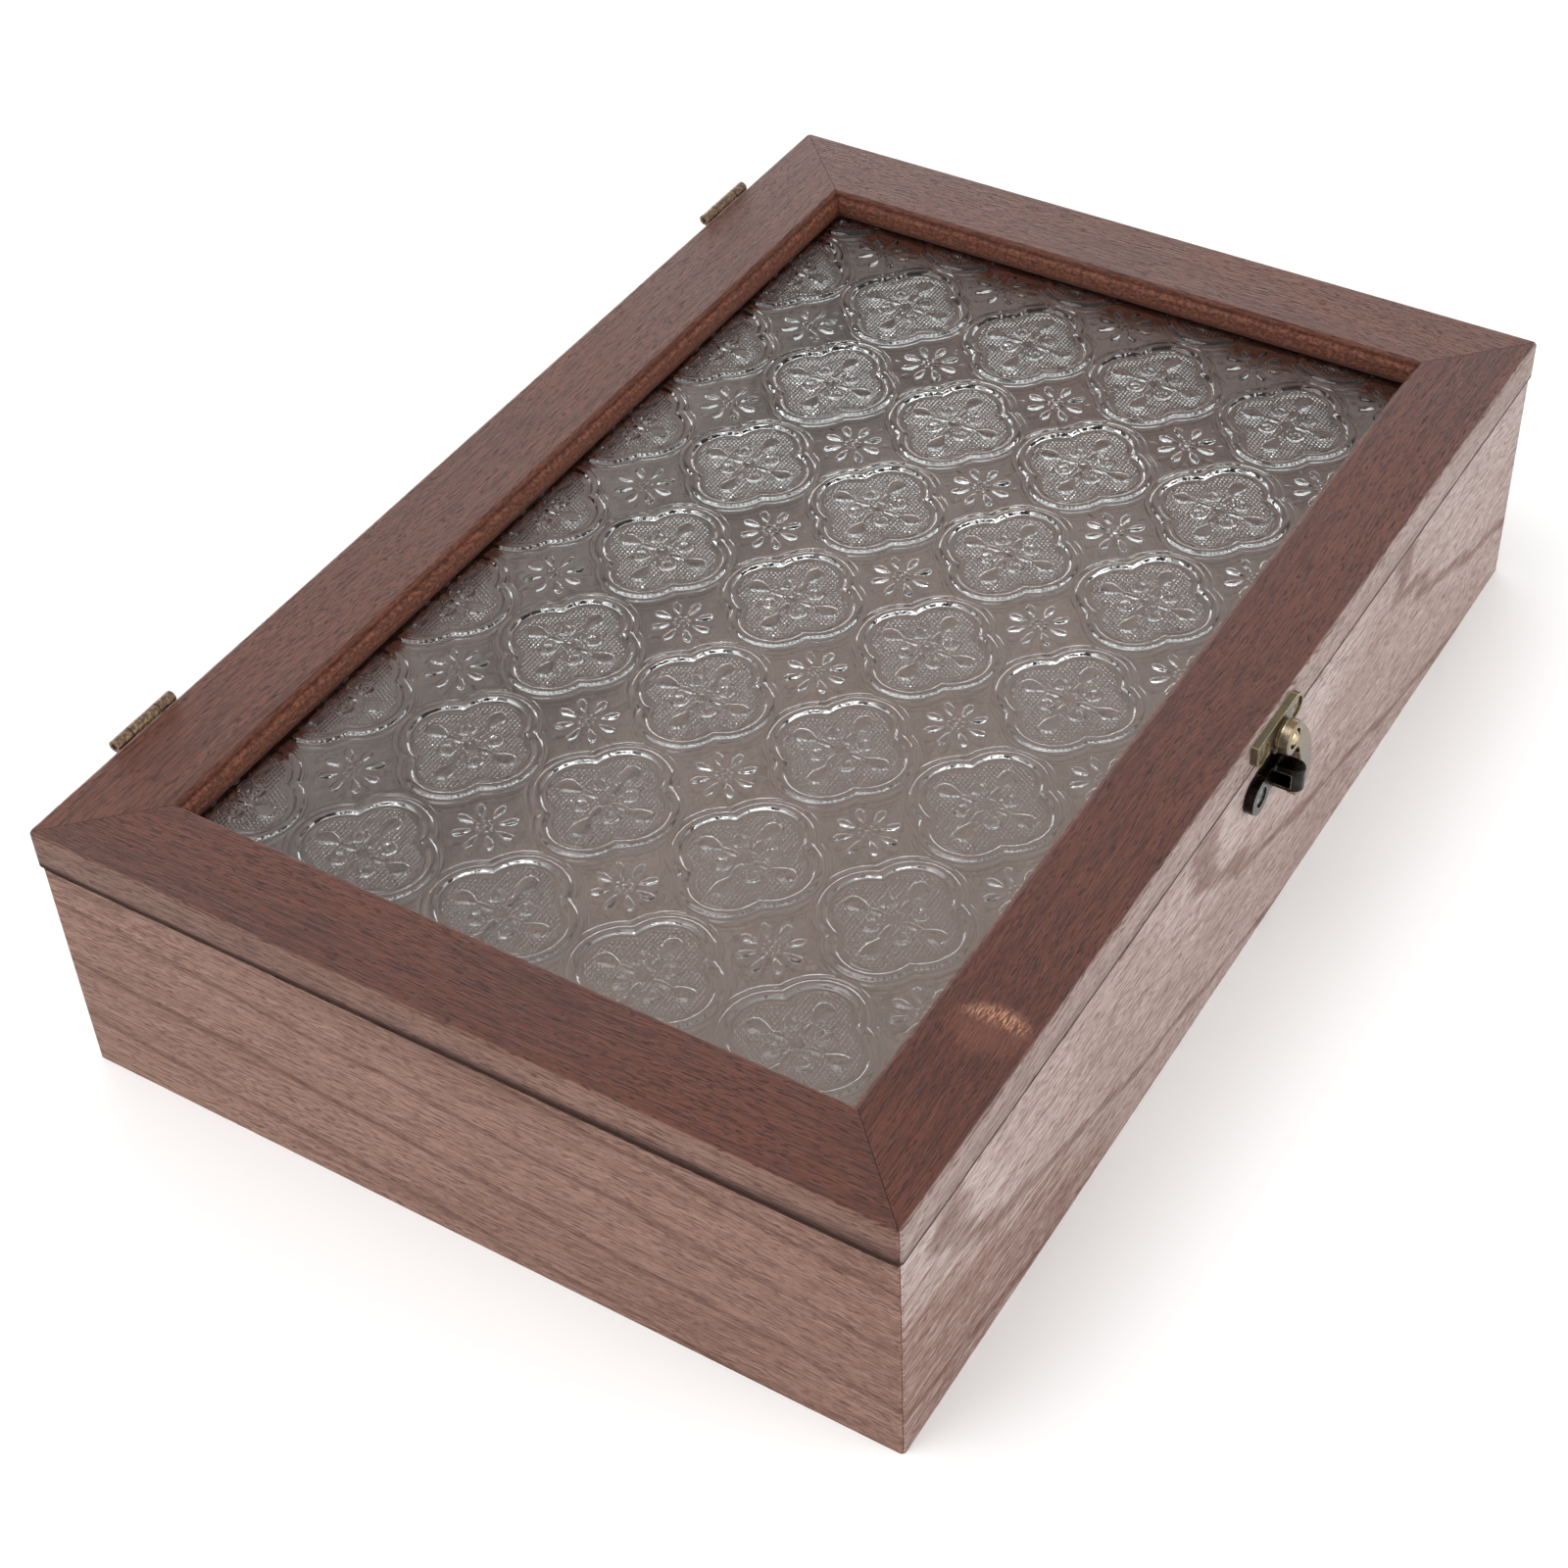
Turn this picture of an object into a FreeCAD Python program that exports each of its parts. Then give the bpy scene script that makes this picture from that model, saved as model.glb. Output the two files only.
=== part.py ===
"""A hinged tabletop display case: a shallow mitred wooden tray, a lid frame that holds a pane of
pressed-pattern glass, two small knuckle hinges and a swing-arm latch.

Millimetres. The origin is the centre of the underside, +Z up. X runs along the long side, the latch is
on the front (-Y) and the hinges are on the back (+Y).
"""

import FreeCAD, Part
import Sketcher
import math
import os
import re

DIMENSIONS = [
    # alias, size, what it is
    ("lid_length", 300.0, "lid, left to right"),
    ("lid_width", 200.0, "lid, front to back"),
    ("case_height", 68.0, "table to the top of the closed lid"),
    ("lid_thick", 9.2, "thickness of the lid's rails"),
    ("lid_gap", 0.4, "air between the back wall's rim and the closed lid"),
    ("end_drop", 1.1, "how much lower the short walls stand than the back one"),
    ("front_drop", 0.7, "how much lower the front wall stands than the back one"),
    ("overhang_ends", 0.7, "lid past the tray at each short side"),
    ("overhang_sides", 0.4, "lid past the tray at front and back"),
    ("wall_thick", 10.0, "tray walls"),
    ("tray_round", 1.0, "radius of the tray's vertical corners"),
    ("lid_round", 1.4, "radius of the lid's vertical corners"),
    ("top_round", 0.7, "radius of the lid's upper outer arris"),
    ("mitre_gap", 0.1, "open line left at each mitre"),
    ("panel_thick", 4.0, "plywood floor"),
    ("panel_lip", 5.0, "wall left outside the floor's rebate"),
    ("panel_gap", 0.2, "air around the floor in its rebate"),
    ("rail_width", 21.0, "lid rails, outer face to sight edge"),
    ("sight_round", 0.8, "radius of the rails' upper inner arris"),
    ("lip_out", 1.3, "how far the inner moulding stands into the opening"),
    ("lip_drop", 1.5, "step from the lid's top to the moulding"),
    ("lip_round", 1.15, "radius of the moulding's shoulder"),
    ("glass_edge", 16.3, "outer face of the lid to the glass rebate"),
    ("glass_gap", 0.3, "air around the glass in its rebate"),
    ("glass_play", 0.1, "air between the glass and the moulding above it"),
    ("glass_thick", 3.0, "pane"),
    ("strip_edge", 12.5, "outer face of the lid to the glass strips"),
    ("strip_thick", 3.5, "glass strips"),
    ("brad_head", 1.0, "radius of a brad's head"),
    ("brad_shank", 0.55, "radius of a brad"),
    ("brad_sink", 0.6, "height of a brad's head"),
    ("floor_brad", 13.0, "length of a brad in the floor"),
    ("strip_brad", 9.0, "length of a brad in a glass strip"),
    ("latch_screw_head", 1.9, "radius of a latch screw's head"),
    ("latch_screw_shank", 0.95, "radius of a latch screw"),
    ("latch_screw_sink", 1.1, "height of a latch screw's head"),
    ("latch_screw_long", 8.5, "length of a latch screw"),
    ("leaf_screw_head", 1.3, "radius of a hinge screw's head"),
    ("leaf_screw_shank", 0.7, "radius of a hinge screw"),
    ("leaf_screw_sink", 0.7, "height of a hinge screw's head"),
    ("leaf_screw_long", 7.0, "length of a hinge screw"),
    ("cross_reach", 0.9, "half length of a screw's cross recess"),
    ("cross_wide", 0.34, "width of a cross recess"),
    ("cross_deep", 0.4, "depth of a cross recess"),
    ("fit", 0.03, "radial play around a screw or a brad"),
    ("hinge_left", -113.0, "middle of the left hinge"),
    ("hinge_right", 111.0, "middle of the right hinge"),
    ("hinge_width", 18.0, "length of a hinge's barrel"),
    ("hinge_out", 1.65, "back of the lid to the hinge axis"),
    ("hinge_drop", 0.35, "lid top to the hinge axis"),
    ("knuckle", 1.35, "radius of the barrel"),
    ("hinge_bore", 0.75, "radius of the barrel's bore"),
    ("hinge_pin", 0.7, "radius of the hinge pin"),
    ("pin_recess", 0.4, "barrel end to pin end"),
    ("strap_width", 4.6, "each outer knuckle and the strap below it"),
    ("strap_gap", 0.3, "side play between knuckles"),
    ("leaf_thick", 1.0, "sheet of both leaves"),
    ("strap_off", 0.4, "air between the lid's back face and a strap"),
    ("tray_leaf", 11.0, "height of the tray leaf's plate"),
    ("leaf_low", 1.4, "tray rim down to the top of the tray leaf's plate"),
    ("leaf_foot", 0.5, "lid underside up to the bottom of the lid leaf"),
    ("leaf_screws", 10.4, "distance between the tray leaf's screws"),
    ("lid_screws", 4.0, "distance between the lid leaf's screws"),
    ("latch_at", 3.2, "the rivet and the keeper, right of the middle of the case"),
    ("latch_holes", 16.3, "distance between the screws of the plate or the keeper"),
    ("dish", 2.4, "radius of the dish around each latch screw"),
    ("dish_deep", 0.5, "depth of that dish"),
    ("plate_thick", 1.8, "latch plate"),
    ("plate_shift", 1.0, "how far left of the rivet the middle of the plate is"),
    ("plate_top", 67.3, "height of the latch plate's straight upper edge"),
    ("plate_screws", 63.8, "height of the latch plate's screws"),
    ("plate_ear", 3.0, "radius of the latch plate's rounded ends"),
    ("plate_low", 4.4, "radius of the latch plate's middle lobe"),
    ("boss", 3.0, "radius of the boss under the arm's eye"),
    ("boss_high", 0.6, "height of that boss"),
    ("rivet_at", 62.0, "height of the rivet the arm swings on"),
    ("rivet", 1.2, "radius of the rivet"),
    ("rivet_head", 2.05, "radius of the rivet's head"),
    ("rivet_dome", 1.3, "height of the rivet's head"),
    ("keeper_thick", 2.4, "keeper"),
    ("keeper_screws", 50.9, "height of the keeper's screws"),
    ("keeper_ear", 4.2, "radius of the keeper's rounded ends"),
    ("keeper_top", 55.5, "height of the keeper's waist, upper edge"),
    ("keeper_low", 49.3, "height of the keeper's waist, lower edge"),
    ("horn_left", 1.9, "middle of the latch to the horn's open side"),
    ("horn_right", 2.7, "middle of the latch to the horn's closed side"),
    ("horn_top", 54.5, "height of the horn's upper face"),
    ("horn_low", 48.8, "height of the horn's lower edge"),
    ("horn_reach", 5.6, "keeper's face to the tip of the horn"),
    ("horn_soft", 0.6, "radius along the horn's upper edge"),
    ("pocket_deep", 3.5, "keeper's face to the far end of the pocket in the horn"),
    ("pocket_top", 53.2, "height of the pocket's ceiling"),
    ("pocket_wall", 1.0, "metal between the pocket and the horn's closed side"),
    ("pocket_floor", 0.8, "metal under the pocket"),
    ("arm_play", 0.2, "air between the boss and the arm"),
    ("arm_thick", 2.2, "swing arm"),
    ("arm_head", 3.9, "radius of the arm's eye"),
    ("arm_bore", 1.27, "radius of the arm's bore"),
    ("arm_cup", 2.4, "radius of the recess around the rivet's head"),
    ("cup_deep", 0.9, "depth of that recess"),
    ("arm_out", 11.2, "rivet to the arm's outermost point, sideways"),
    ("arm_reach", 20.6, "rivet to the arm's tip, downwards"),
    ("arm_clear", 3.3, "rivet to the arm's inner edge beside the horn"),
    ("arm_soft", 0.3, "radius along the arm's front edge"),
]

doc = FreeCAD.newDocument("display_case")
sheet = doc.addObject("Spreadsheet::Sheet", "dims")
sheet.set("A1", "dimension")
sheet.set("B1", "size")
sheet.set("C1", "what it is")
for row, (alias, size, meaning) in enumerate(DIMENSIONS, start=2):
    sheet.set(f"A{row}", alias)
    sheet.set(f"B{row}", str(size))
    sheet.setAlias(f"B{row}", alias)
    sheet.set(f"C{row}", meaning)
doc.recompute()

ALIASES = {alias for alias, _, _ in DIMENSIONS}
ALONG_X = FreeCAD.Rotation(FreeCAD.Vector(0, 1, 0), 90)
ALONG_Y = FreeCAD.Rotation(FreeCAD.Vector(1, 0, 0), -90)
AGAINST_Y = FreeCAD.Rotation(FreeCAD.Vector(1, 0, 0), 90)

# Places that several pieces share, as expressions.
LID_UNDER = "(case_height - lid_thick)"
RIM = f"({LID_UNDER} - lid_gap)"
TRAY_LENGTH = "(lid_length - 2 * overhang_ends)"
TRAY_WIDTH = "(lid_width - 2 * overhang_sides)"
SIGHT_EDGE = "(rail_width + lip_out)"
GLASS_TOP = f"({LID_UNDER} + glass_thick)"
STRIP_UNDER = f"({LID_UNDER} - strip_thick)"
PIVOT_Y = "(lid_width / 2 + hinge_out)"
PIVOT_Z = "(case_height - hinge_drop)"
PLATE_FACE = "(-lid_width / 2 - plate_thick)"
KEEPER_FACE = f"(-{TRAY_WIDTH} / 2 - keeper_thick)"
ARM_BACK = f"({PLATE_FACE} - boss_high - arm_play)"
ARM_FACE = f"({ARM_BACK} - arm_thick)"


def in_sheet(text):
    """The expression with each alias in it pointing at the sheet."""
    return re.sub(r"[a-z_]+", lambda word: "dims." + word[0] if word[0] in ALIASES else word[0], text)


def size_of(alias):
    """A dimension as a number, for the shapes that are made in code."""
    return float(sheet.get(alias))


def add(kind, name, at=("0", "0", "0"), turn=None, **sizes):
    """A document object whose place and sizes are bound to the sheet."""
    item = doc.addObject(kind, name)
    if turn:
        item.Placement = FreeCAD.Placement(FreeCAD.Vector(), turn)
    for size, text in sizes.items():
        item.setExpression(size, in_sheet(text))
    for axis, text in zip("xyz", at):
        item.setExpression("Placement.Base." + axis, in_sheet(text))
    return item


def block(name, low_x, high_x, low_y, high_y, low_z, high_z):
    """A box between two corners."""
    return add(
        "Part::Box",
        name,
        (low_x, low_y, low_z),
        Length=f"({high_x}) - ({low_x})",
        Width=f"({high_y}) - ({low_y})",
        Height=f"({high_z}) - ({low_z})",
    )


def centred_block(name, length, width, low_z, high_z):
    """A box centred on the origin in plan."""
    half_x, half_y = f"({length}) / 2", f"({width}) / 2"
    return block(name, f"-{half_x}", half_x, f"-{half_y}", half_y, low_z, high_z)


def rod(name, at, turn, radius, length):
    return add("Part::Cylinder", name, at, turn, Radius=radius, Height=length)


def joined(name, pieces):
    item = doc.addObject("Part::MultiFuse", name)
    item.Shapes = pieces
    return item


def group(name, pieces):
    """Separate solids under one name."""
    item = doc.addObject("Part::Compound", name)
    item.Links = pieces
    return item


def cut(name, base, tools):
    item = doc.addObject("Part::Cut", name)
    item.Base = base
    item.Tool = tools[0] if len(tools) == 1 else joined(name + "_tools", tools)
    return item


def shared(name, base, tool):
    item = doc.addObject("Part::Common", name)
    item.Base = base
    item.Tool = tool
    return item


def rounded(name, base, roundings):
    """The base with edges rounded: roundings pairs a test on an edge with the alias of its radius."""
    doc.recompute()
    item = doc.addObject("Part::Fillet", name)
    item.Base = base
    item.Edges = [
        (number, size_of(alias), size_of(alias))
        for number, edge in enumerate(base.Shape.Edges, start=1)
        for wanted, alias in roundings
        if wanted(edge)
    ]
    return item


def upright(edge):
    """True for a straight vertical edge."""
    box = edge.BoundBox
    return box.XLength < 1e-6 and box.YLength < 1e-6


def level_at(height):
    """A test for edges that lie at one height."""
    return lambda edge: abs(edge.BoundBox.ZMin - height) < 1e-6 and abs(edge.BoundBox.ZMax - height) < 1e-6


# The four sides of a frame: the turn that brings a board there, its outer face and its length.
SIDES = {
    "front": (0, ("0", "-{width} / 2"), "{length}"),
    "right": (90, ("{length} / 2", "0"), "{width}"),
    "back": (180, ("0", "{width} / 2"), "{length}"),
    "left": (270, ("-{length} / 2", "0"), "{width}"),
}


def mitred_board(name, side, frame_length, frame_width, outer, inner, low_z, high_z):
    """A board of a mitred frame, from outer to inner, both measured inwards from the frame's edge."""
    angle, outer_face, board_length = SIDES[side]
    here = {"length": frame_length, "width": frame_width}
    half = f"({board_length.format(**here)} / 2 - mitre_gap * 0.7071)"
    board = add(
        "Part::Wedge",
        name,
        tuple(text.format(**here) for text in outer_face) + ("0",),
        FreeCAD.Rotation(FreeCAD.Vector(0, 0, 1), angle),
        Ymax=inner,
        Ymin=outer,
        Xmax=f"{half} - ({outer})",
        Xmin=f"({outer}) - {half}",
        X2max=f"{half} - ({inner})",
        X2min=f"({inner}) - {half}",
        Zmax=high_z,
        Zmin=low_z,
        Z2max=high_z,
        Z2min=low_z,
    )
    return board


def fastener(name, at, turn, kind, reach, grow="0"):
    """A cone head at a point and a shank running on from it. A grown one is the hole for it."""
    head = add(
        "Part::Cone",
        name + "_head",
        at,
        turn,
        Radius1=f"{kind}_head + {grow}",
        Radius2=f"{kind}_shank + {grow}",
        Height=f"{kind}_sink",
    )
    shank = rod(name + "_shank", at, turn, f"{kind}_shank + {grow}", f"{reach} + 5 * {grow}")
    return joined(name, [head, shank])


def crossed(name, screw, x, face_y, inwards, z):
    """A screw with a cross recess in its face. inwards is +1 where the screw points to +Y."""
    deep = f"({face_y} + {inwards} * cross_deep)"
    low_y, high_y = (face_y, deep) if inwards > 0 else (deep, face_y)
    wide = block(
        name + "_cross_wide",
        f"{x} - cross_reach",
        f"{x} + cross_reach",
        low_y,
        high_y,
        f"{z} - cross_wide / 2",
        f"{z} + cross_wide / 2",
    )
    tall = block(
        name + "_cross_tall",
        f"{x} - cross_wide / 2",
        f"{x} + cross_wide / 2",
        low_y,
        high_y,
        f"{z} - cross_reach",
        f"{z} + cross_reach",
    )
    return cut(name, screw, [wide, tall])


def screw_row(name, places, face_y, inwards, kind, reach):
    """Screws along Y at (x, z) places, as one group, and the holes that they need."""
    turn = ALONG_Y if inwards > 0 else AGAINST_Y
    screws, holes = [], []
    for number, (x, z) in enumerate(places, start=1):
        one = f"{name}_{number}"
        plain = fastener(one + "_blank", (x, face_y, z), turn, kind, reach)
        screws.append(crossed(one, plain, x, face_y, inwards, z))
        holes.append(fastener(one + "_hole", (x, face_y, z), turn, kind, reach, "fit"))
    return group(name, screws), holes


def brad_rows(name, places, base_z, reach):
    """Brads driven upwards from (x, y) places, as one group, and the holes that they need."""
    brads, holes = [], []
    for number, (x, y) in enumerate(places, start=1):
        one = f"{name}_{number}"
        brads.append(fastener(one, (x, y, base_z), None, "brad", reach))
        holes.append(fastener(one + "_hole", (x, y, base_z), None, "brad", reach, "fit"))
    return group(name, brads), holes


def row_places(inset_x, inset_y, long_side, short_side):
    """Points along the four sides of a rectangle, inset from the lid's outline."""
    x_edge, y_edge = f"(lid_length / 2 - {inset_x})", f"(lid_width / 2 - {inset_y})"
    along_long = [(f"{share} * {x_edge}", f"{sign}{y_edge}") for sign in "-+" for share in long_side]
    along_short = [(f"{sign}{x_edge}", f"{share} * {y_edge}") for sign in "-+" for share in short_side]
    return along_long + along_short


def make_tray(hinge_holes, keeper_holes):
    """Four mitred walls, rebated underneath for a floor that is nailed up into them."""
    envelope = rounded(
        "tray_envelope",
        centred_block("tray_block", TRAY_LENGTH, TRAY_WIDTH, "0", RIM),
        [(upright, "tray_round")],
    )
    seat = centred_block(
        "floor_seat", f"{TRAY_LENGTH} - 2 * panel_lip", f"{TRAY_WIDTH} - 2 * panel_lip", "-1", "panel_thick"
    )
    inset = "(panel_lip + 2.4)"
    brads, brad_holes = brad_rows(
        "floor_brads",
        row_places(
            f"(overhang_ends + {inset})", f"(overhang_sides + {inset})", (-0.8, -0.3, 0.3, 0.8), (-0.5, 0.5)
        ),
        "0",
        "floor_brad",
    )
    own_holes = {"front": keeper_holes, "back": hinge_holes}
    walls = []
    for side in SIDES:
        drop = {"left": " - end_drop", "right": " - end_drop", "front": " - front_drop", "back": ""}[side]
        top = f"({RIM}{drop})"
        board = mitred_board(f"{side}_board", side, TRAY_LENGTH, TRAY_WIDTH, "0", "wall_thick", "0", top)
        shaped = shared(f"{side}_shaped", board, envelope)
        walls.append(cut(f"wall_{side}", shaped, [seat] + brad_holes + own_holes.get(side, [])))
    panel = centred_block(
        "floor_blank",
        f"{TRAY_LENGTH} - 2 * panel_lip - 2 * panel_gap",
        f"{TRAY_WIDTH} - 2 * panel_lip - 2 * panel_gap",
        "0",
        "panel_thick",
    )
    return walls + [cut("floor_panel", panel, brad_holes), brads]


def make_lid_frame(strip_holes, hinge_holes, plate_holes):
    """Four mitred rails with a rounded moulding at the sight edge and a rebate below it for the glass."""
    envelope = rounded(
        "lid_envelope",
        centred_block("lid_block", "lid_length", "lid_width", LID_UNDER, "case_height"),
        [(upright, "lid_round"), (level_at(size_of("case_height")), "top_round")],
    )
    seat = centred_block(
        "glass_seat",
        "lid_length - 2 * glass_edge",
        "lid_width - 2 * glass_edge",
        f"{LID_UNDER} - 1",
        f"{GLASS_TOP} + glass_play",
    )
    own_holes = {"front": plate_holes, "back": hinge_holes}
    sight_y = size_of("rail_width")
    moulding_y = sight_y + size_of("lip_out")
    top_z = size_of("case_height")
    rails = []
    for side, (angle, _, _) in SIDES.items():
        reach = size_of("lid_width" if side in ("front", "back") else "lid_length") / 2

        def depth(edge, reach=reach, angle=angle):
            """How far inwards an edge along this rail lies from the lid's outer face, or None."""
            ends = [FreeCAD.Rotation(FreeCAD.Vector(0, 0, 1), -angle) * v.Point for v in edge.Vertexes]
            if len(ends) != 2 or abs(ends[0].y - ends[1].y) > 1e-6 or abs(ends[0].z - ends[1].z) > 1e-6:
                return None
            return ends[0].y + reach

        def at_depth(inwards, height, depth=depth):
            """A test for the edge along this rail at one depth and height."""

            def wanted(edge):
                here = depth(edge)
                return here is not None and abs(here - inwards) < 1e-4 and level_at(height)(edge)

            return wanted

        board = mitred_board(
            f"rail_{side}_board", side, "lid_length", "lid_width", "0", "rail_width", LID_UNDER, "case_height"
        )
        lip = mitred_board(
            f"rail_{side}_lip",
            side,
            "lid_length",
            "lid_width",
            "rail_width - 1",
            SIGHT_EDGE,
            f"{GLASS_TOP} + glass_play",
            "case_height - lip_drop",
        )
        blank = joined(f"rail_{side}_blank", [board, lip])
        moulded = rounded(
            f"rail_{side}_moulded",
            blank,
            [
                (at_depth(sight_y, top_z), "sight_round"),
                (at_depth(moulding_y, top_z - size_of("lip_drop")), "lip_round"),
            ],
        )
        shaped = shared(f"rail_{side}_shaped", moulded, envelope)
        rails.append(cut(f"lid_rail_{side}", shaped, [seat] + strip_holes + own_holes.get(side, [])))
    return rails


def make_glass():
    """The pane: a padded rectangle with its sharp edges taken off. Its relief pattern is not modelled."""
    body = doc.addObject("PartDesign::Body", "glass_pane")
    sketch = body.newObject("Sketcher::SketchObject", "glass_outline")
    plane = next(item for item in body.Origin.OriginFeatures if item.Role == "XY_Plane")
    sketch.AttachmentSupport = (plane, [""])
    sketch.MapMode = "FlatFace"
    sketch.setExpression("AttachmentOffset.Base.z", in_sheet(LID_UNDER))
    half_x, half_y = 100.0, 50.0
    corners = [(-half_x, -half_y), (half_x, -half_y), (half_x, half_y), (-half_x, half_y)]
    points = [FreeCAD.Vector(x, y, 0) for x, y in corners]
    for number, start in enumerate(points):
        sketch.addGeometry(Part.LineSegment(start, points[(number + 1) % 4]))
    start_of, end_of, origin = 1, 2, -1
    for number in range(4):
        sketch.addConstraint(Sketcher.Constraint("Coincident", number, end_of, (number + 1) % 4, start_of))
    for number in (0, 2):
        sketch.addConstraint(Sketcher.Constraint("Horizontal", number))
    for number in (1, 3):
        sketch.addConstraint(Sketcher.Constraint("Vertical", number))
    sketch.addConstraint(Sketcher.Constraint("Symmetric", 0, start_of, 2, start_of, origin, start_of))
    for direction, line, value, total in (
        ("DistanceX", 0, 2 * half_x, "lid_length"),
        ("DistanceY", 1, 2 * half_y, "lid_width"),
    ):
        number = sketch.addConstraint(Sketcher.Constraint(direction, line, start_of, line, end_of, value))
        sketch.renameConstraint(number, total)
        sketch.setExpression(
            "Constraints." + total, in_sheet(total) + in_sheet(" - 2 * (glass_edge + glass_gap)")
        )
    pad = body.newObject("PartDesign::Pad", "glass_pad")
    pad.Profile = sketch
    pad.setExpression("Length", in_sheet("glass_thick"))
    doc.recompute()
    return body


def make_glass_strips():
    """Thin strips nailed under the rails, which hold the pane up in its rebate."""
    outer_x, outer_y = "(lid_length / 2 - strip_edge)", "(lid_width / 2 - strip_edge)"
    inner_x, inner_y = f"(lid_length / 2 - {SIGHT_EDGE})", f"(lid_width / 2 - {SIGHT_EDGE})"
    end_y = f"({inner_y} - panel_gap)"
    spans = {
        "front": (f"-{outer_x}", outer_x, f"-{outer_y}", f"-{inner_y}"),
        "back": (f"-{outer_x}", outer_x, inner_y, outer_y),
        "left": (f"-{outer_x}", f"-{inner_x}", f"-{end_y}", end_y),
        "right": (inner_x, outer_x, f"-{end_y}", end_y),
    }
    nail_line = "(strip_edge + 1.9)"
    brads, holes = brad_rows(
        "strip_brads",
        row_places(nail_line, nail_line, (-0.9, -0.45, 0, 0.45, 0.9), (-0.6, 0, 0.6)),
        STRIP_UNDER,
        "strip_brad",
    )
    strips = []
    for side, (low_x, high_x, low_y, high_y) in spans.items():
        blank = block(f"strip_{side}_blank", low_x, high_x, low_y, high_y, STRIP_UNDER, LID_UNDER)
        strips.append(cut(f"glass_strip_{side}", blank, holes))
    return strips + [brads], holes


def make_hinge(side):
    """One hinge: the tray's leaf carries two straps up to the outer knuckles, and the lid's leaf sits
    between them with the middle knuckle."""
    middle = f"hinge_{side}"
    name = f"hinge_{side}"
    left_end, right_end = f"({middle} - hinge_width / 2)", f"({middle} + hinge_width / 2)"
    straps = {
        "a": (left_end, f"({left_end} + strap_width)"),
        "b": (f"({right_end} - strap_width)", right_end),
    }
    tray_back = f"({TRAY_WIDTH} / 2)"
    strap_face = "(lid_width / 2 + strap_off)"
    plate_top = f"({RIM} - leaf_low)"
    plate_low = f"({plate_top} - tray_leaf)"
    pieces = [
        block(
            f"{name}_plate", left_end, right_end, tray_back, f"{tray_back} + leaf_thick", plate_low, plate_top
        )
    ]
    for letter, (low_x, high_x) in straps.items():
        pieces += [
            block(
                f"{name}_step_{letter}",
                low_x,
                high_x,
                tray_back,
                f"{strap_face} + leaf_thick",
                f"{plate_top} - leaf_thick",
                plate_top,
            ),
            block(
                f"{name}_strap_{letter}",
                low_x,
                high_x,
                strap_face,
                f"{strap_face} + leaf_thick",
                f"{plate_top} - leaf_thick",
                PIVOT_Z,
            ),
            rod(f"{name}_knuckle_{letter}", (low_x, PIVOT_Y, PIVOT_Z), ALONG_X, "knuckle", "strap_width"),
        ]
    bore = rod(
        f"{name}_bore", (f"{left_end} - 1", PIVOT_Y, PIVOT_Z), ALONG_X, "hinge_bore", "hinge_width + 2"
    )
    tray_screws, tray_holes = screw_row(
        f"{name}_tray_screws",
        [(f"({middle} {sign} leaf_screws / 2)", f"({plate_low} + tray_leaf / 2)") for sign in "-+"],
        f"({tray_back} + leaf_thick)",
        -1,
        "leaf_screw",
        "leaf_screw_long",
    )
    tray_leaf = cut(f"{name}_tray_leaf", joined(f"{name}_tray_blank", pieces), [bore] + tray_holes)

    low_x = f"({straps['a'][1]} + strap_gap)"
    high_x = f"({straps['b'][0]} - strap_gap)"
    lid_back = "(lid_width / 2)"
    leaf_low = f"({LID_UNDER} + leaf_foot)"
    lid_plate = block(
        f"{name}_lid_plate", low_x, high_x, lid_back, f"{lid_back} + leaf_thick", leaf_low, PIVOT_Z
    )
    lid_knuckle = rod(
        f"{name}_lid_knuckle", (low_x, PIVOT_Y, PIVOT_Z), ALONG_X, "knuckle", f"{high_x} - {low_x}"
    )
    lid_screws, lid_holes = screw_row(
        f"{name}_lid_screws",
        [(f"({middle} {sign} lid_screws / 2)", f"({leaf_low} + 2.6)") for sign in "-+"],
        f"({lid_back} + leaf_thick)",
        -1,
        "leaf_screw",
        "leaf_screw_long",
    )
    lid_blank = joined(f"{name}_lid_blank", [lid_plate, lid_knuckle])
    lid_leaf = cut(f"{name}_lid_leaf", lid_blank, [bore] + lid_holes)
    pin = rod(
        f"{name}_pin",
        (f"{left_end} + pin_recess", PIVOT_Y, PIVOT_Z),
        ALONG_X,
        "hinge_pin",
        "hinge_width - 2 * pin_recess",
    )
    return [tray_leaf, tray_screws, lid_leaf, lid_screws, pin], tray_holes, lid_holes


def dish(name, x, face_y, z):
    """The shallow round hollow that a latch screw's head sits in."""
    return rod(name, (x, f"{face_y} - 1", z), ALONG_Y, "dish", "dish_deep + 1")


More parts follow.
